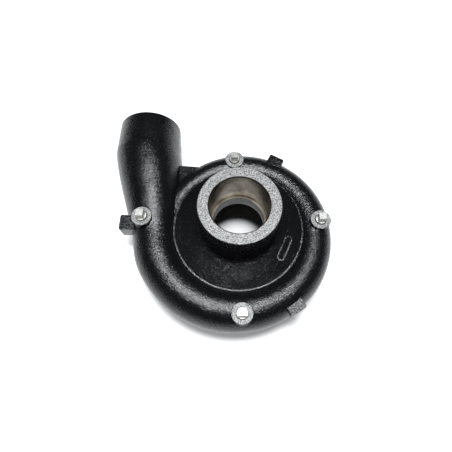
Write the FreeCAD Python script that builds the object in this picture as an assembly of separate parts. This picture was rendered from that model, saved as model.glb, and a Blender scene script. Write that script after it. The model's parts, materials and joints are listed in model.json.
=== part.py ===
"""Volute pump casing: one hollow iron casting and the four square-head plugs in its bosses.

Millimetres, +Z up.  The origin lies on the suction axis, in the machined back face, so the
casing rests on its back with the suction collar on top.  The discharge nozzle points along +Y.

Seen from above, the spiral tube grows clockwise from the tongue.  Every cross-section of the
tube is a circle centred on one level plane, and all of those circles pass through one fixed
ring, the crease where the tube meets the face round the suction collar.
"""

import FreeCAD, Part
import math
import os

from FreeCAD import Vector

UP = Vector(0, 0, 1)
ALONG = Vector(0, 1, 0)

# ---- suction collar and front face -------------------------------------------------------
HEIGHT = 114.0                  # back face to the top of the suction collar
SUCTION_BORE_R = 30.15          # takes a 60.3 mm pipe spigot
SUCTION_BORE_DEPTH = 42.0
COLLAR_R = 42.2
COLLAR_CHAMFER = 0.8
COLLAR_ROOT_FILLET = 4.0
BORE_CHAMFER = 1.0
EYE_R = 28.0                    # impeller eye, below the ledge of the suction bore
EYE_ROUND = 6.0
FACE_DROP = 5.5                 # fall of the conical face from the collar to its edge
LEDGE_WIDTH = 1.6               # flat ring between the conical face and the crease
CREASE_R = 73.5                 # fixed ring that every tube circle passes through
CREASE_RISE = 14.0              # height of that ring above the centre plane of the tube

# ---- spiral tube ---------------------------------------------------------------------------
TUBE_PLANE_Z = 41.0             # level of the tube's centre line above the back face
TUBE_WALL = 6.0
TUBE_START_R = 15.6             # outer radius of the tube at the tongue
TUBE_END_R = 26.9               # outer radius where the nozzle begins
TONGUE_AZIMUTH = 130.0          # degrees, counted from +X towards +Y
SPIRAL_SWEEP = 310.0            # clockwise, from the tongue to the nozzle
ROOT_SWEEP = 40.0               # the tube's tail, buried in the side of the nozzle
SPIRAL_SECTIONS = 22

# ---- discharge nozzle ----------------------------------------------------------------------
NOZZLE_LENGTH = 144.0           # suction axis to the mouth, along +Y
NOZZLE_R = 40.5                 # widest outer radius, where the mouth section begins
MOUTH_R = 38.3
MOUTH_ROUND = 1.5
NOZZLE_DRIFT = 13.3             # sideways run of the widening stretch
NOZZLE_EASE = 5                 # power of the curve that ends the widening: more is tighter
DISCHARGE_BORE_R = 30.15
DISCHARGE_BORE_DEPTH = 42.0
DISCHARGE_LEDGE = 2.15          # step between the bore and the passage behind it
NOZZLE_SECTIONS = 12

# ---- back of the casing --------------------------------------------------------------------
CHAMBER_R = 70.0                # impeller chamber, open at the back
CHAMBER_ROOF_WALL = 6.5         # metal between the crease ring and the chamber
EYE_WALL = 8.0
THROAT_R = 79.0                 # the chamber opens into the tube up to this radius
THROAT_HALF_WIDTH = 7.5
REGISTER_R = 76.0               # recess that centres the back plate
REGISTER_DEPTH = 4.0
DRUM_R = 88.0
BACK_FLANGE_R = 94.0
BACK_FLANGE_T = 9.0
BACK_HOLES = 8
BACK_HOLE_R = 3.4               # tapping size of an M8 stud
BACK_HOLE_DEPTH = 15.0
BACK_HOLE_PITCH_R = 82.0

# ---- web between the tongue and the nozzle ----------------------------------------------------
WEB_TOP_Z = 51.0
WEB_T = 9.0
WEB_OUTER_Y = 84.0              # outer edge of the web
WEB_END_X = -42.0               # where that edge runs out on the tube
WEB_EDGE_SLOPE = 3.0            # fall of the outer edge towards the tube

# ---- lugs: azimuth, and radius of the outer face ----------------------------------------------
LUGS = ((60.5, 102.5), (-57.6, 113.5), (177.0, 134.5))
LUG_WIDTH = 18.0
LUG_TOP_Z = 58.0
LUG_T = 18.0
LUG_CHAMFER = 1.2

# ---- plug bosses: name, azimuth, distance outside the tube's centre line, rise over the crown --
BOSSES = (
    ("plug_top", 91.3, 3.8, 1.5),
    ("plug_right", 1.8, 4.6, 4.7),
    ("plug_bottom", -89.4, 6.4, 3.9),
    ("plug_left", 176.0, 9.7, 5.2),
)
BOSS_R = 11.3
BOSS_CHAMFER = 0.5
PLUG_BODY_R = 6.4
PLUG_CLEARANCE = 0.1
PLUG_SEAT_DEPTH = 9.0           # pad face to the ledge that the plug ends on
PLUG_DRILL_R = 4.5              # way on from that ledge into the passage
PLUG_SHOW = 1.6                 # round part that stands above the pad
PLUG_CHAMFER = 0.8
PLUG_SQUARE = 8.2               # across the flats
PLUG_HEAD_H = 8.6
PLUG_HEAD_DRAFT = 0.35          # the flats lean in by this much at the top

# ---- bare oblong casting on the front face ----------------------------------------------------
OBLONG_LENGTH = 31.0
OBLONG_WIDTH = 8.5
OBLONG_RIM = 1.3
OBLONG_RISE = 1.0
OBLONG_AZIMUTH = -28.9
OBLONG_CENTRE_R = 57.3
OBLONG_TURN = 64.0              # direction of its long axis, from +X

# ---- values that follow from those above --------------------------------------------------------
CREASE_Z = TUBE_PLANE_Z + CREASE_RISE
FACE_EDGE_R = CREASE_R - LEDGE_WIDTH
FACE_ROOT_Z = CREASE_Z + FACE_DROP
FACE_FALL = FACE_DROP / (FACE_EDGE_R - COLLAR_R)
SUCTION_LEDGE_Z = HEIGHT - SUCTION_BORE_DEPTH
DISCHARGE_LEDGE_Y = NOZZLE_LENGTH - DISCHARGE_BORE_DEPTH
DISCHARGE_PASSAGE_R = DISCHARGE_BORE_R - DISCHARGE_LEDGE


def tube_radius(sweep):
    """Outer radius of the tube: it grows by the same share for each degree of sweep."""
    return TUBE_START_R * (TUBE_END_R / TUBE_START_R) ** (sweep / SPIRAL_SWEEP)


def centre_line_radius(sweep):
    """Distance of the tube's centre line from the suction axis."""
    return CREASE_R + math.sqrt(tube_radius(sweep) ** 2 - CREASE_RISE ** 2)


def polar(radius, azimuth, z):
    """Point at a radius and azimuth round the suction axis."""
    turn = math.radians(azimuth)
    return Vector(radius * math.cos(turn), radius * math.sin(turn), z)


def sweep_at(azimuth):
    """Clockwise sweep from the tongue to an azimuth."""
    return (TONGUE_AZIMUTH - azimuth) % 360.0


def spiral_section(sweep, wall):
    """Circle of the tube at one sweep, a wall inside the outer skin."""
    azimuth = TONGUE_AZIMUTH - sweep
    centre = polar(centre_line_radius(sweep), azimuth, TUBE_PLANE_Z)
    onward = polar(1.0, azimuth - 90.0, 0.0)
    return Part.Wire([Part.makeCircle(tube_radius(sweep) - wall, centre, onward)])


NOZZLE_ROOT_X = -centre_line_radius(SPIRAL_SWEEP)
MOUTH_X = NOZZLE_ROOT_X - NOZZLE_DRIFT


def nozzle_section(share, end_radius, wall):
    """Circle of the widening stretch: it grows evenly, then eases off just before its end."""
    root_radius = TUBE_END_R - wall
    growth = (NOZZLE_EASE * share - share ** NOZZLE_EASE) / (NOZZLE_EASE - 1)
    radius = root_radius + (end_radius - root_radius) * growth
    centre = Vector(NOZZLE_ROOT_X - NOZZLE_DRIFT * share, DISCHARGE_LEDGE_Y * share, TUBE_PLANE_Z)
    return Part.Wire([Part.makeCircle(radius, centre, ALONG)])


def swept_tube(end_radius, wall):
    """Solid lofted through the spiral circles and on through the widening nozzle."""
    step = SPIRAL_SWEEP / (SPIRAL_SECTIONS - 1)
    sections = [spiral_section(i * step, wall) for i in range(SPIRAL_SECTIONS)]
    for i in range(1, NOZZLE_SECTIONS + 1):
        sections.append(nozzle_section(i / NOZZLE_SECTIONS, end_radius, wall))
    return Part.makeLoft(sections, True, False)


def tongue_root():
    """The tube's first circle turned back past the tongue, into the side of the nozzle."""
    return Part.Face(spiral_section(0.0, 0.0)).revolve(Vector(0, 0, 0), UP, ROOT_SWEEP)


def revolved(points):
    """Solid of revolution about the suction axis from (radius, z) points."""
    corners = [Vector(r, 0, z) for r, z in points]
    face = Part.Face(Part.makePolygon(corners + corners[:1]))
    return face.revolve(Vector(0, 0, 0), UP, 360)


def edges_at(shape, radius, z):
    """Circular edges of a shape with this radius and level."""
    found = []
    for edge in shape.Edges:
        curve = edge.Curve
        if curve.TypeId == "Part::GeomCircle" and abs(curve.Radius - radius) < 1e-3:
            if abs(curve.Center.z - z) < 1e-3:
                found.append(edge)
    return found


def collar_and_drum():
    """Suction collar, conical face, ledge ring, drum and back flange as one turned solid."""
    body = revolved([
        (0, 0), (BACK_FLANGE_R, 0), (BACK_FLANGE_R, BACK_FLANGE_T), (DRUM_R, BACK_FLANGE_T),
        (DRUM_R, TUBE_PLANE_Z), (CREASE_R + LEDGE_WIDTH, CREASE_Z), (FACE_EDGE_R, CREASE_Z),
        (COLLAR_R, FACE_ROOT_Z), (COLLAR_R, HEIGHT), (0, HEIGHT),
    ])
    body = body.makeFillet(COLLAR_ROOT_FILLET, edges_at(body, COLLAR_R, FACE_ROOT_Z))
    return body.makeChamfer(COLLAR_CHAMFER, edges_at(body, COLLAR_R, HEIGHT))


def mouth_section():
    """Outer skin of the last stretch of the nozzle, with a rounded end."""
    base = Vector(MOUTH_X, DISCHARGE_LEDGE_Y, TUBE_PLANE_Z)
    cone = Part.makeCone(NOZZLE_R, MOUTH_R, DISCHARGE_BORE_DEPTH, base, ALONG)
    rim = [e for e in cone.Edges if abs(e.BoundBox.YMin - NOZZLE_LENGTH) < 1e-3]
    return cone.makeFillet(MOUTH_ROUND, rim)


def web():
    """Flat plate that ties the tongue of the casing to the side of the nozzle."""
    inner = polar(centre_line_radius(0), TONGUE_AZIMUTH, 0)
    corners = [
        Vector(NOZZLE_ROOT_X, WEB_OUTER_Y + WEB_EDGE_SLOPE, 0),
        Vector(WEB_END_X, WEB_OUTER_Y - WEB_EDGE_SLOPE, 0),
        Vector(inner.x, inner.y, 0),
        Vector(NOZZLE_ROOT_X, inner.y - WEB_T, 0),
    ]
    face = Part.Face(Part.makePolygon(corners + corners[:1]))
    face.translate(UP * (WEB_TOP_Z - WEB_T))
    return face.extrude(UP * WEB_T)


def lug(azimuth, outer_radius):
    """Square lug that stands out of the tube's wall, rooted at the tube's centre line."""
    reach = outer_radius - centre_line_radius(sweep_at(azimuth))
    block = Part.makeBox(reach, LUG_WIDTH, LUG_T)
    upright = [e for e in block.Edges if abs(e.BoundBox.ZLength - LUG_T) < 1e-3]
    outer = [e for e in upright if e.BoundBox.XMin > reach / 2]
    block = block.makeChamfer(LUG_CHAMFER, outer)
    block.translate(Vector(outer_radius - reach, -LUG_WIDTH / 2, LUG_TOP_Z - LUG_T))
    block.rotate(Vector(0, 0, 0), UP, azimuth)
    return block


def boss_place(azimuth, outside, rise):
    """Centre of a boss pad: beside the tube's centre line and a little above its crown."""
    sweep = sweep_at(azimuth)
    pad_z = TUBE_PLANE_Z + tube_radius(sweep) + rise
    return polar(centre_line_radius(sweep) + outside, azimuth, pad_z)


def boss(pad):
    """Round boss from the tube's centre plane up to its flat pad."""
    post = Part.makeCylinder(BOSS_R, pad.z - TUBE_PLANE_Z, Vector(pad.x, pad.y, TUBE_PLANE_Z))
    return post.makeChamfer(BOSS_CHAMFER, edges_at(post, BOSS_R, pad.z))


def plug_hole(pad):
    """Threaded hole with an end ledge, and the drilled way on into the passage."""
    seat = pad - UP * PLUG_SEAT_DEPTH
    hole = Part.makeCylinder(PLUG_BODY_R + PLUG_CLEARANCE, PLUG_SEAT_DEPTH, seat)
    drill = Part.makeCylinder(PLUG_DRILL_R, seat.z - TUBE_PLANE_Z, Vector(pad.x, pad.y, TUBE_PLANE_Z))
    return hole.fuse(drill)


def plug(pad, azimuth):
    """Pipe plug: round threaded body and a square head with slightly leaning flats."""
    seat = pad - UP * PLUG_SEAT_DEPTH
    body = Part.makeCylinder(PLUG_BODY_R, PLUG_SEAT_DEPTH + PLUG_SHOW, seat)
    shoulder_z = pad.z + PLUG_SHOW
    body = body.makeChamfer(PLUG_CHAMFER, edges_at(body, PLUG_BODY_R, shoulder_z))
    foot = square_wire(PLUG_SQUARE, 0.0)
    top = square_wire(PLUG_SQUARE - 2 * PLUG_HEAD_DRAFT, PLUG_HEAD_H)
    head = Part.makeLoft([foot, top], True, True)
    head.rotate(Vector(0, 0, 0), UP, azimuth)
    head.translate(Vector(pad.x, pad.y, shoulder_z))
    return body.fuse(head).removeSplitter()


def square_wire(side, z):
    """Closed square outline centred on the Z axis."""
    half = side / 2
    corners = [Vector(-half, -half, z), Vector(half, -half, z), Vector(half, half, z),
               Vector(-half, half, z)]
    return Part.makePolygon(corners + corners[:1])


def oblong(length, width, z, height):
    """Upright prism with round ends, centred on the Z axis with its long way along X."""
    r = width / 2
    run = length / 2 - r
    near = Part.LineSegment(Vector(-run, -r, z), Vector(run, -r, z)).toShape()
    right = Part.Arc(Vector(run, -r, z), Vector(run + r, 0, z), Vector(run, r, z)).toShape()
    far = Part.LineSegment(Vector(run, r, z), Vector(-run, r, z)).toShape()
    left = Part.Arc(Vector(-run, r, z), Vector(-run - r, 0, z), Vector(-run, -r, z)).toShape()
    return Part.Face(Part.Wire([near, right, far, left])).extrude(UP * height)


def oblong_rim():
    """Bare raised rim on the conical face, rooted below the face."""
    face_z = FACE_ROOT_Z - (OBLONG_CENTRE_R - COLLAR_R) * FACE_FALL
    tall = OBLONG_RISE + FACE_DROP
    root_z = face_z + OBLONG_RISE - tall
    outer = oblong(OBLONG_LENGTH, OBLONG_WIDTH, root_z, tall)
    inner = oblong(OBLONG_LENGTH - 2 * OBLONG_RIM, OBLONG_WIDTH - 2 * OBLONG_RIM, root_z, tall)
    rim = outer.cut(inner)
    rim.rotate(Vector(0, 0, 0), UP, OBLONG_TURN)
    rim.translate(polar(OBLONG_CENTRE_R, OBLONG_AZIMUTH, 0))
    return rim


def chamber_and_suction():
    """Space turned about the suction axis: bore, eye, impeller chamber, throat and register."""
    throat_top = TUBE_PLANE_Z + THROAT_HALF_WIDTH
    roof_z = CREASE_Z - CHAMBER_ROOF_WALL
    eye_end_z = FACE_ROOT_Z - EYE_WALL
    space = revolved([
        (0, 0), (REGISTER_R, 0), (REGISTER_R, REGISTER_DEPTH), (CHAMBER_R, REGISTER_DEPTH),
        (CHAMBER_R, TUBE_PLANE_Z - THROAT_HALF_WIDTH), (THROAT_R, TUBE_PLANE_Z - THROAT_HALF_WIDTH),
        (THROAT_R, throat_top), (CHAMBER_R, roof_z), (EYE_R, eye_end_z),
        (EYE_R, SUCTION_LEDGE_Z), (SUCTION_BORE_R, SUCTION_LEDGE_Z),
        (SUCTION_BORE_R, HEIGHT - BORE_CHAMFER), (SUCTION_BORE_R + BORE_CHAMFER, HEIGHT),
        (0, HEIGHT),
    ])
    return space.makeFillet(EYE_ROUND, edges_at(space, EYE_R, eye_end_z))


def discharge_bore():
    """Machined bore of the nozzle's mouth, with its lead-in."""
    base = Vector(MOUTH_X, DISCHARGE_LEDGE_Y, TUBE_PLANE_Z)
    bore = Part.makeCylinder(DISCHARGE_BORE_R, DISCHARGE_BORE_DEPTH, base, ALONG)
    lead = Part.makeCone(DISCHARGE_BORE_R, DISCHARGE_BORE_R + BORE_CHAMFER, BORE_CHAMFER,
                         Vector(MOUTH_X, NOZZLE_LENGTH - BORE_CHAMFER, TUBE_PLANE_Z), ALONG)
    return bore.fuse(lead)


def back_holes():
    """Tapped holes round the register for the studs of the back plate."""
    holes = []
    for i in range(BACK_HOLES):
        foot = polar(BACK_HOLE_PITCH_R, (i + 0.5) * 360.0 / BACK_HOLES, 0)
        holes.append(Part.makeCylinder(BACK_HOLE_R, BACK_HOLE_DEPTH, foot))
    return holes


def volute_casing(pads):
    """The whole casting: outer skins joined, then the hollow cut out of them."""
    skin = swept_tube(NOZZLE_R, 0.0)
    outside = [tongue_root(), collar_and_drum(), mouth_section(), web(), oblong_rim()]
    outside += [lug(azimuth, radius) for azimuth, radius in LUGS]
    outside += [boss(pad) for pad in pads]
    solid = skin.multiFuse(outside)
    hollow = [swept_tube(DISCHARGE_PASSAGE_R, TUBE_WALL), chamber_and_suction(), discharge_bore()]
    hollow += [plug_hole(pad) for pad in pads]
    hollow += back_holes()
    return solid.cut(hollow)


def write(shape, name):
    """Write one node and print its measures."""
    box = shape.BoundBox
    print(f"{name}: {len(shape.Solids)} solid, {shape.Volume / 1000:.1f} cm3, valid {shape.isValid()}, "
          f"x {box.XMin:.1f}..{box.XMax:.1f} y {box.YMin:.1f}..{box.YMax:.1f} "
          f"z {box.ZMin:.1f}..{box.ZMax:.1f}")
    shape.exportStep(f"parts/{name}.step")


def main():
    os.makedirs("parts", exist_ok=True)
    pads = [boss_place(azimuth, outside, rise) for _, azimuth, outside, rise in BOSSES]
    write(volute_casing(pads), "volute_casing")
    for (name, azimuth, _, _), pad in zip(BOSSES, pads):
        write(plug(pad, azimuth), name)


main()
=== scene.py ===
# %% [markdown]
# # Volute pump casing
# The casing and its four plugs come from the CAD frame, already at their true size and place.
# This lesson gives them their finishes and sets up the floor, the light and the camera. It adds
# no piece to the object.

# %% Load the frame
import json
import math

import bpy
import numpy as np
from mathutils import Matrix, Vector


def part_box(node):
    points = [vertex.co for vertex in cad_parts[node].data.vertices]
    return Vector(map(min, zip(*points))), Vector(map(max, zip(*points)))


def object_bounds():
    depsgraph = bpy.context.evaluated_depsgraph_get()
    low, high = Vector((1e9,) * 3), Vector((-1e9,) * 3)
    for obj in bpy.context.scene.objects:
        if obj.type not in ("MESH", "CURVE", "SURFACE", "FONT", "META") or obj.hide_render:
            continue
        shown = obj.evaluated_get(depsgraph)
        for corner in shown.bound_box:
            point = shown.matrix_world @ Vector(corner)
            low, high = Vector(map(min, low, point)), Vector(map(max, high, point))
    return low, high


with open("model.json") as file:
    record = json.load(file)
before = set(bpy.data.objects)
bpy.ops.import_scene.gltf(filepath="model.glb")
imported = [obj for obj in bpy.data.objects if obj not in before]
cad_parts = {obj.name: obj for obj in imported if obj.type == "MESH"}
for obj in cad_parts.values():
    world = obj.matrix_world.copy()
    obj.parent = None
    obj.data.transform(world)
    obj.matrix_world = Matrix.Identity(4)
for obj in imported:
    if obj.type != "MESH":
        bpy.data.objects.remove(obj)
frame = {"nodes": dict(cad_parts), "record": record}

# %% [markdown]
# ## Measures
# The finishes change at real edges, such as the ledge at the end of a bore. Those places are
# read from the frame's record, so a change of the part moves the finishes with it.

CAD_BOX = [list(corner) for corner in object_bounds()]
LOW, HIGH = (Vector(corner) for corner in CAD_BOX)
print("object box, metres:", [round(v, 4) for v in LOW], [round(v, 4) for v in HIGH])

MOUNTS = {mount["name"]: mount for mount in frame["record"]["mounts"]}
COLLAR_TOP = HIGH.z
SUCTION = MOUNTS["suction_bore"]
BORE_R = SUCTION["dims"]["r_mm"] / 1000
BORE_LEDGE_Z = SUCTION["pos_m"][2] - SUCTION["dims"]["length_mm"] / 2000
DISCHARGE = MOUNTS["discharge_bore"]
MOUTH_AXIS_X = DISCHARGE["pos_m"][0]
MOUTH_AXIS_Z = DISCHARGE["pos_m"][2]
MOUTH_LEDGE_Y = DISCHARGE["pos_m"][1] - DISCHARGE["dims"]["length_mm"] / 2000
REGISTER_R = MOUNTS["back_register"]["dims"]["r_mm"] / 1000
REGISTER_DEPTH = MOUNTS["back_register"]["dims"]["length_mm"] / 1000
print("suction bore", BORE_R, "from", round(BORE_LEDGE_Z, 4), "to", COLLAR_TOP)

# %% [markdown]
# ## Plug places
# Each plug stands upright in its boss. Its node's box gives the axis, so no place is typed
# twice. The level of the boss face follows from the top of the square head.

# %% Find the plug axes and the boss faces
PLUGS = ("plug_top", "plug_right", "plug_bottom", "plug_left")
SHOULDER_RISE = 0.0016
HEAD_RISE = 0.0086
BOSS_R = 0.0113


def plug_axis(node):
    """Middle of a plug seen from above: halfway between the corners of its box."""
    low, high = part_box(node)
    return (low + high) / 2


PADS = {}
for node in PLUGS:
    middle = plug_axis(node)
    PADS[node] = Vector((middle.x, middle.y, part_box(node)[1].z - (SHOULDER_RISE + HEAD_RISE)))
    print(node, "boss face at", [round(v, 4) for v in PADS[node]])

# %% [markdown]
# ## A short way to write node trees
# A finish is a formula: colour, roughness and height, each a function of the place on the
# part. This helper writes such formulas as shader nodes. Every sum or product is one Math
# node, and the place itself comes from Object coordinates, in metres.


# %% A helper for shader formulas
class Finish:
    """A material under construction. Most methods add nodes and return a socket."""

    def __init__(self, name):
        self.material = bpy.data.materials.new(name)
        self.material.use_nodes = True
        self.tree = self.material.node_tree
        self.tree.nodes.clear()
        self.place = self.node("ShaderNodeTexCoord").outputs["Object"]
        split = self.node("ShaderNodeSeparateXYZ", Vector=self.place)
        self.x, self.y, self.z = split.outputs

    def node(self, kind, settings=None, **inputs):
        node = self.tree.nodes.new(kind)
        for key, value in (settings or {}).items():
            setattr(node, key, value)
        for key, value in inputs.items():
            self.feed(node.inputs[key.replace("_", " ")], value)
        return node

    def feed(self, socket, value):
        """Link the socket when the value comes from a node, and set it when it is a number."""
        if isinstance(value, bpy.types.NodeSocket):
            self.tree.links.new(value, socket)
        else:
            socket.default_value = value

    def math(self, operation, *values):
        node = self.node("ShaderNodeMath", {"operation": operation})
        for socket, value in zip(node.inputs, values):
            self.feed(socket, value)
        return node.outputs[0]

    def ramp(self, value, start, end, low=0.0, high=1.0):
        """Straight ramp from low to high as the value goes from start to end, held outside."""
        node = self.node("ShaderNodeMapRange", {"clamp": True}, Value=value, From_Min=start,
                         From_Max=end, To_Min=low, To_Max=high)
        return node.outputs[0]

    def noise(self, scale, detail=2.0, roughness=0.5, place=None):
        """Soft random pattern between 0 and 1 with about scale lumps to the metre."""
        node = self.node("ShaderNodeTexNoise", Vector=place or self.place, Scale=scale,
                         Detail=detail, Roughness=roughness)
        return node.outputs["Fac"]

    def colour(self, share, first, second):
        """First colour where the share is 0, second where it is 1."""
        node = self.node("ShaderNodeMix", {"data_type": "RGBA"})
        self.feed(node.inputs[0], share)
        self.feed(node.inputs[6], first)
        self.feed(node.inputs[7], second)
        return node.outputs[2]

    def mix(self, share, first, second):
        """First value where the share is 0, second where it is 1."""
        rise = self.math("SUBTRACT", second, first)
        return self.math("ADD", first, self.math("MULTIPLY", share, rise))

    def length(self, across, along):
        """Length of the two sides of a right angle: the root of the sum of their squares."""
        return self.math("SQRT", self.math("ADD", self.math("MULTIPLY", across, across),
                                           self.math("MULTIPLY", along, along)))

    def radius_from(self, x, y):
        """Distance from an upright axis."""
        return self.length(self.math("SUBTRACT", self.x, x), self.math("SUBTRACT", self.y, y))

    def both(self, *shares):
        """Product of the shares: 1 only where all of them are 1."""
        result = shares[0]
        for share in shares[1:]:
            result = self.math("MULTIPLY", result, share)
        return result

    def either(self, *shares):
        """Largest of the shares: 1 where any of them is 1."""
        result = shares[0]
        for share in shares[1:]:
            result = self.math("MAXIMUM", result, share)
        return result

    def above(self, value, limit):
        return self.math("GREATER_THAN", value, limit)

    def below(self, value, limit):
        return self.math("LESS_THAN", value, limit)

    def bump(self, height, distance):
        return self.node("ShaderNodeBump", Height=height, Distance=distance).outputs[0]

    def shade(self, normal, **inputs):
        shader = self.node("ShaderNodeBsdfPrincipled", Normal=normal, **inputs)
        self.node("ShaderNodeOutputMaterial", Surface=shader.outputs[0])
        return self.material


# %% [markdown]
# ## The casting's zones
# The casing is one casting with several finishes: black enamel over most of it, machined faces
# that are dusted with paint and whose pale colour is partly a painted highlight, and bare turned
# iron in the bores and at the back. The mesh could be cut up for them, but a zone can also be a
# formula: a share that is 1 inside and 0 outside, from radius and height. That leaves the CAD mesh
# alone and keeps every border sharp.

# %% Zones of the casting
EDGE = 0.0001
BRIGHT_RIM = 0.0012
LEDGE_MARGIN = 0.0003
PAINTED_RIM = 0.0004
skin = Finish("black_enamel_on_cast_iron")
axis_r = skin.radius_from(0.0, 0.0)

in_bore = skin.both(skin.below(axis_r, BORE_R + BRIGHT_RIM),
                    skin.above(skin.z, BORE_LEDGE_Z - LEDGE_MARGIN))
collar_face = skin.both(skin.above(skin.z, COLLAR_TOP - EDGE), skin.above(axis_r, BORE_R))
boss_faces = []
for pad in PADS.values():
    near_axis = skin.below(skin.radius_from(pad.x, pad.y), BOSS_R - PAINTED_RIM)
    level = skin.below(skin.math("ABSOLUTE", skin.math("SUBTRACT", skin.z, pad.z)), 2 * EDGE)
    boss_faces.append(skin.both(near_axis, level))
# The collar face and boss faces: paint dust, with a painted highlight in its pale colour.
dust_and_highlight_faces = skin.either(collar_face, *boss_faces)

mouth_r = skin.length(skin.math("SUBTRACT", skin.x, MOUTH_AXIS_X),
                      skin.math("SUBTRACT", skin.z, MOUTH_AXIS_Z))
in_mouth = skin.both(skin.below(mouth_r, BORE_R + BRIGHT_RIM),
                     skin.above(skin.y, MOUTH_LEDGE_Y - LEDGE_MARGIN))
back_face = skin.below(skin.z, EDGE)
register = skin.both(skin.below(skin.z, REGISTER_DEPTH + EDGE),
                     skin.below(axis_r, REGISTER_R + EDGE))
turned = skin.either(in_bore, in_mouth, back_face, register)
print("zones: collar face,", len(boss_faces), "boss faces, two bores, register and back face")

# %% [markdown]
# ## The casting's relief
# The enamel keeps the sand's grain as a fine orange peel, so a highlight on it breaks into
# sparks. A real displacement would need millions of faces, so the grain is bump: noise at three
# sizes. On the conical front face the shading is also tilted outwards, by SHADE_FALL metres for
# each metre of radius. It makes that face catch less of the lamp and look darker. It is a
# choice of look: the solid's own slope is gentler.

# %% Relief of the skin
BUMP = 0.0006
FACE_OUTER_R = 0.0719
FACE_OUTER_Z = 0.0550
FACE_INNER_R = 0.0452
FACE_INNER_Z = 0.0600
FACE_MARGIN = 0.0003
SHADE_FALL = -0.22
PEEL_SCALE = 560.0
SPARK_SCALE = 1300.0
SWELL_SCALE = 60.0
PEEL_SHARE = 0.65
SPARK_SHARE = 0.35
SWELL_HEIGHT = 1.2

peel = skin.noise(PEEL_SCALE, 2.0, 0.6)
sparks = skin.noise(SPARK_SCALE, 2.0, 0.65)
swell = skin.noise(SWELL_SCALE, 2.0, 0.5)
pebbles = skin.math("ADD", skin.math("MULTIPLY", peel, PEEL_SHARE),
                    skin.math("MULTIPLY", sparks, SPARK_SHARE))
face_z = skin.ramp(axis_r, FACE_INNER_R, FACE_OUTER_R, FACE_INNER_Z, FACE_OUTER_Z)
on_face = skin.both(skin.above(skin.z, FACE_OUTER_Z - EDGE),
                    skin.below(skin.z, skin.math("ADD", face_z, FACE_MARGIN)),
                    skin.above(axis_r, FACE_INNER_R), skin.below(axis_r, FACE_OUTER_R))
tilt = skin.math("MULTIPLY", skin.math("SUBTRACT", axis_r, FACE_INNER_R), SHADE_FALL / BUMP)
grain = skin.math("ADD", pebbles, skin.math("MULTIPLY", on_face, tilt))
cast_height = skin.math("ADD", grain, skin.math("MULTIPLY", swell, SWELL_HEIGHT))
print("relief:", round(BUMP * 1000, 2), "mm of bump for each unit of height")

# %% [markdown]
# ## Turned grooves
# A lathe tool leaves fine rings. Noise that is read at (radius, height) is the same all the way
# round the suction axis, so it makes rings without any drawing of lines. The discharge bore
# lies level and off that axis, so there the same noise gives a fine mottle and no rings.

# %% Grooves of the turned zones
GROOVE_SCALE = 4500.0
GROOVE_HEIGHT = 0.05
groove_place = skin.node("ShaderNodeCombineXYZ", X=axis_r, Y=skin.z, Z=0.0).outputs[0]
grooves = skin.noise(GROOVE_SCALE, 3.0, 0.7, place=groove_place)
relief = skin.mix(turned, cast_height, skin.math("MULTIPLY", grooves, GROOVE_HEIGHT))
normal = skin.bump(relief, BUMP)
print("grooves: a ring about every", round(1000 / GROOVE_SCALE, 2), "mm")

# %% [markdown]
# ## The casting's colours
# Each zone mixes two colours by a noise: nearly black and slightly worn enamel, dark grey paint
# dust and a pale grey that is part paint dust and part painted highlight, and brown-stained and
# clean iron. Only the turned zones are metal.

# %% Colour, roughness and metal of the skin
black_enamel = (0.0030, 0.0031, 0.0036, 1.0)
worn_enamel = (0.0070, 0.0074, 0.0088, 1.0)
dark_dust = (0.045, 0.045, 0.047, 1.0)
# Pale paint dust, kept light to stand in for the lamp's highlight on the flat faces: painted
# highlight.
pale_dust_and_highlight = (0.60, 0.60, 0.59, 1.0)
brown_iron = (0.09, 0.065, 0.04, 1.0)
clean_iron = (0.46, 0.41, 0.34, 1.0)
DUSTED_ROUGHNESS = 0.4
SPECKLE_SCALE = 800.0
STAIN_SCALE = 45.0

enamel = skin.colour(swell, black_enamel, worn_enamel)
speckle = skin.ramp(skin.noise(SPECKLE_SCALE, 3.0, 0.75), 0.40, 0.62)
dust_and_highlight = skin.colour(speckle, dark_dust, pale_dust_and_highlight)
stain = skin.ramp(skin.noise(STAIN_SCALE, 4.0, 0.6), 0.35, 0.7)
iron = skin.colour(stain, brown_iron, clean_iron)
painted = skin.colour(dust_and_highlight_faces, enamel, dust_and_highlight)

enamel_roughness = skin.ramp(peel, 0.3, 0.7, 0.16, 0.30)
iron_roughness = skin.ramp(grooves, 0.3, 0.7, 0.22, 0.38)
painted_roughness = skin.mix(dust_and_highlight_faces, enamel_roughness, DUSTED_ROUGHNESS)
skin.shade(normal, Base_Color=skin.colour(turned, painted, iron),
           Roughness=skin.mix(turned, painted_roughness, iron_roughness),
           Metallic=turned, IOR=1.55)

casing = frame["nodes"]["volute_casing"]
for slot in casing.material_slots:
    slot.material = skin.material
print("casing:", len(casing.data.polygons), "faces, one finish with zones")

# %% [markdown]
# ## The plugs
# The square-head plugs are zinc-plated steel: a mottled pale grey with a fine, soft grain. The
# round shoulder under each head is bare brown steel. The bosses stand at their own levels, so
# each plug has a material of its own, with the border at its own height.

# %% Plug finish
dull_zinc = (0.36, 0.35, 0.33, 1.0)
bright_zinc = (0.76, 0.75, 0.72, 1.0)
brown_steel = (0.10, 0.07, 0.045, 1.0)
pale_steel = (0.34, 0.30, 0.25, 1.0)
PLUG_BUMP = 0.0002
PLUG_METAL = 0.8


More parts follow.
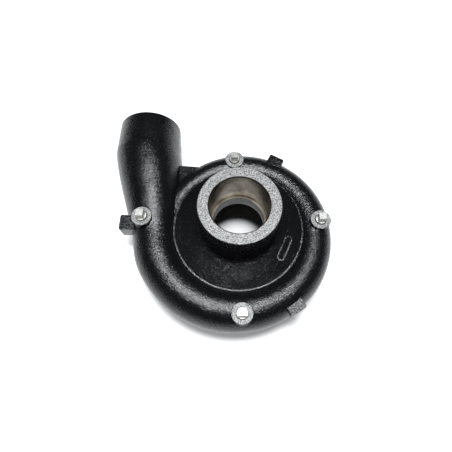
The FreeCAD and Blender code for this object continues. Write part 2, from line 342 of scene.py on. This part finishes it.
def plug_finish(node):
    """Zinc on the square head, and bare brown steel on the round shoulder below it."""
    plate = Finish("zinc_" + node)
    head = plate.above(plate.z, PADS[node].z + SHOULDER_RISE - EDGE)
    cloud = plate.noise(300.0, 3.0, 0.6)
    scratch = plate.noise(1600.0, 3.0, 0.65)
    zinc = plate.colour(cloud, dull_zinc, bright_zinc)
    steel = plate.colour(cloud, brown_steel, pale_steel)
    return plate.shade(plate.bump(scratch, PLUG_BUMP),
                       Base_Color=plate.colour(head, steel, zinc),
                       Metallic=PLUG_METAL, Roughness=plate.ramp(cloud, 0.3, 0.7, 0.34, 0.52))


for node in PLUGS:
    finish = plug_finish(node)
    for slot in frame["nodes"][node].material_slots:
        slot.material = finish
print("plugs:", len(PLUGS), "finishes, one for each boss level")

# %% [markdown]
# ## Floor
# The casing lies on a white table, a flat grid. Its white is lifted by emission that only the
# camera and glossy reflections see, so it adds no diffuse light to the part. Near the suction
# axis the lift fades out, so that the shadow and the floor seen through the bore stay dark. The
# fade also paints shade: it leaves all the floor round the casing darker than the rest.


# %% Floor
def flat_grid(name, half, level, count):
    """Level square: x and y run evenly from -half to +half, and z stays at the level."""
    line = np.linspace(-half, half, count)
    x, y = np.meshgrid(line, line)
    points = np.stack([x, y, np.full_like(x, level)], axis=-1).reshape(-1, 3)
    corner = np.arange(count * count).reshape(count, count)
    faces = np.stack([corner[:-1, :-1], corner[:-1, 1:], corner[1:, 1:], corner[1:, :-1]], axis=-1)
    mesh = bpy.data.meshes.new(name)
    mesh.from_pydata(points.tolist(), [], faces.reshape(-1, 4).tolist())
    piece = bpy.data.objects.new(name, mesh)
    bpy.context.scene.collection.objects.link(piece)
    return piece


FLOOR_HALF = 3.0
FLOOR_GAP = 0.0002
floor = flat_grid("floor", FLOOR_HALF, LOW.z - FLOOR_GAP, 5)
print("floor:", 2 * FLOOR_HALF, "metres wide")

# %% White of the floor
LIFT = 0.5
SHADE_FADE_START = 0.07
SHADE_FADE_END = 0.15
TABLE_WHITE = (0.9, 0.9, 0.9, 1.0)
table = Finish("white_table")
rays = table.node("ShaderNodeLightPath")
seen = table.math("MAXIMUM", rays.outputs["Is Camera Ray"], rays.outputs["Is Glossy Ray"])
reach = table.node("ShaderNodeVectorMath", {"operation": "LENGTH"}, Vector=table.place)
# Painted shade: the lift fades out towards the axis, so the floor round the casing is darker.
shade_fade = table.node("ShaderNodeMapRange", {"interpolation_type": "SMOOTHSTEP"},
                  Value=reach.outputs["Value"], From_Min=SHADE_FADE_START, From_Max=SHADE_FADE_END,
                  To_Max=LIFT)
lift = table.math("MULTIPLY", seen, shade_fade.outputs[0])
matt = table.node("ShaderNodeBsdfDiffuse", Color=TABLE_WHITE)
glow = table.node("ShaderNodeEmission", Strength=lift)
total = table.node("ShaderNodeAddShader")
table.feed(total.inputs[0], matt.outputs[0])
table.feed(total.inputs[1], glow.outputs[0])
table.node("ShaderNodeOutputMaterial", Surface=total.outputs[0])
floor.data.materials.append(table.material)
print("floor lift:", LIFT, "from", SHADE_FADE_END, "metres outwards")

# %% [markdown]
# ## Lamp and room
# One elliptical lamp a little over a metre above gives the long highlight along the crown of
# the tube. Glossy enamel mirrors the lamp softly, so a wider lamp or a rougher enamel makes a
# wider highlight. A dim room, white but weak, fills the rest.


# %% Lamp and room
def panel_lamp(name, place, target, wide, deep, watts, colour):
    """Elliptical area lamp at a place, turned to face a target."""
    lamp = bpy.data.lights.new(name, "AREA")
    lamp.shape = "ELLIPSE"
    lamp.size = wide
    lamp.size_y = deep
    lamp.energy = watts
    lamp.color = colour
    piece = bpy.data.objects.new(name, lamp)
    piece.location = place
    piece.rotation_euler = (Vector(target) - Vector(place)).to_track_quat("-Z", "Y").to_euler()
    bpy.context.scene.collection.objects.link(piece)


LAMP_PLACE = (0.0, 0.02, 1.2)
LAMP_TARGET = (0, 0, 0.05)
LAMP_WIDTH = 0.36
LAMP_DEPTH = 0.26
LAMP_WATTS = 16.0
COOL_WHITE = (0.95, 0.975, 1.0)
ROOM_WHITE = (1.0, 1.0, 1.0, 1.0)
ROOM_STRENGTH = 0.03
panel_lamp("key_lamp", LAMP_PLACE, LAMP_TARGET, LAMP_WIDTH, LAMP_DEPTH, LAMP_WATTS, COOL_WHITE)

world = bpy.data.worlds.new("white_room")
bpy.context.scene.world = world
world.use_nodes = True
room = world.node_tree.nodes["Background"]
room.inputs["Color"].default_value = ROOM_WHITE
room.inputs["Strength"].default_value = ROOM_STRENGTH
print("lamp:", LAMP_WATTS, "watts,", LAMP_PLACE[2], "metres up")

# %% [markdown]
# ## Camera
# The camera stands on the near side and looks down past the collar, so that both the front
# face and the wall of the suction bore are seen. Its focal length is given as a share of the
# render's width, which is the same as giving its angle of view.


# %% Camera
def camera_at(place, tilt, roll, focal_share):
    """Camera that looks down and away: tilt is measured from straight down, roll about its view."""
    data = bpy.data.cameras.new("camera")
    data.sensor_width = 36.0
    data.lens = focal_share * data.sensor_width
    data.clip_start = 0.01
    camera = bpy.data.objects.new("camera", data)
    turn = Matrix.Rotation(math.radians(tilt), 4, "X") @ Matrix.Rotation(math.radians(roll), 4, "Z")
    camera.matrix_world = Matrix.Translation(place) @ turn
    bpy.context.scene.collection.objects.link(camera)
    bpy.context.scene.camera = camera


CAMERA_PLACE = (-0.01366, -0.14715, 0.42362)
CAMERA_TILT = 21.9
CAMERA_ROLL = -1.0
RENDER_WIDTH = 452
FOCAL_LENGTH = 350
FOCAL_SHARE = FOCAL_LENGTH / RENDER_WIDTH
camera_at(CAMERA_PLACE, CAMERA_TILT, CAMERA_ROLL, FOCAL_SHARE)
print("camera:", CAMERA_TILT, "degrees from straight down")

# %% [markdown]
# The Standard view transform shows colours about as they are written. No piece was added, so
# the finished object keeps the CAD box.

bpy.context.scene.view_settings.view_transform = "Standard"
